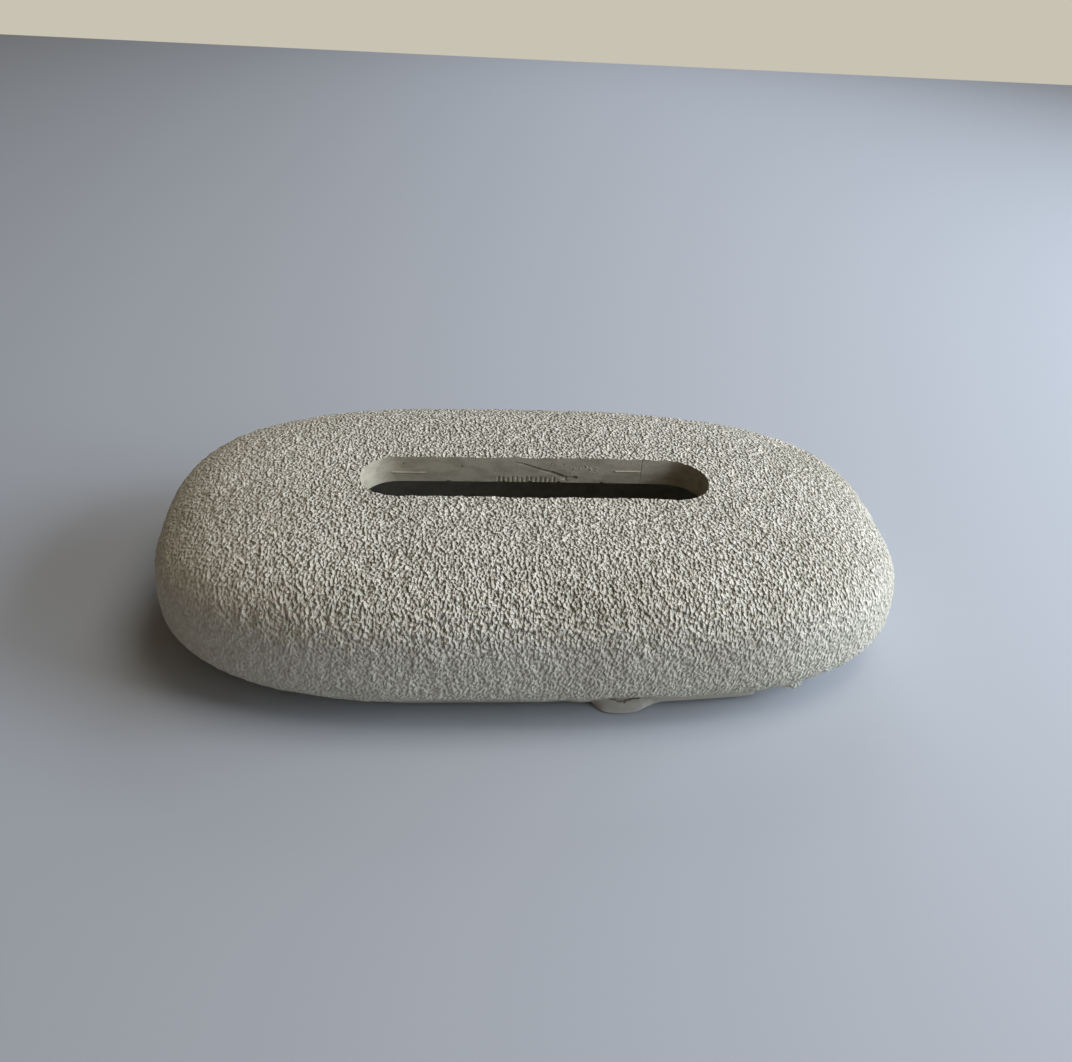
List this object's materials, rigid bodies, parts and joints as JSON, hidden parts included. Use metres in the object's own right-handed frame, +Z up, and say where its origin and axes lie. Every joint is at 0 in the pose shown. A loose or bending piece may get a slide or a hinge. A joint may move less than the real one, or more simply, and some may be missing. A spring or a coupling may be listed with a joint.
{
  "type": "tissue box cover",
  "caption": "Pebble-shaped tissue box cover in rough cast stone with a long rounded slot in the top, standing on a magnetic base board with rubber feet.",
  "frame": {"origin": "centre of the bounding box in plan, at the underside of the feet", "axes": "+X along the slot to the right as pictured, +Y to the back, +Z up"},
  "size_m": [0.27, 0.148, 0.0555],
  "materials": {
    "cast_stone": "cast with a coarse worm-cast relief, unsealed and matt; smooth in the slot and at the rim",
    "board": "sheet, fine matt grain",
    "magnet": "bright nickel plate",
    "foot_rubber": "matt"
  },
  "bodies": {
    "base": {"base_board": "board", "board_magnet_front_right": "magnet", "board_magnet_back_right": "magnet", "board_magnet_back_left": "magnet", "board_magnet_front_left": "magnet", "foot_front_right": "foot_rubber", "foot_back_right": "foot_rubber", "foot_back_left": "foot_rubber", "foot_front_left": "foot_rubber"},
    "cover": {"cast_shell": "cast_stone", "shell_magnet_front_right": "magnet", "shell_magnet_back_right": "magnet", "shell_magnet_back_left": "magnet", "shell_magnet_front_left": "magnet"}
  },
  "joints": [
    {"name": "cover_lift", "type": "slide", "parent": "base", "child": "cover", "axis": [0, 0, 1], "range_m": [0, 0.12]}
  ]
}
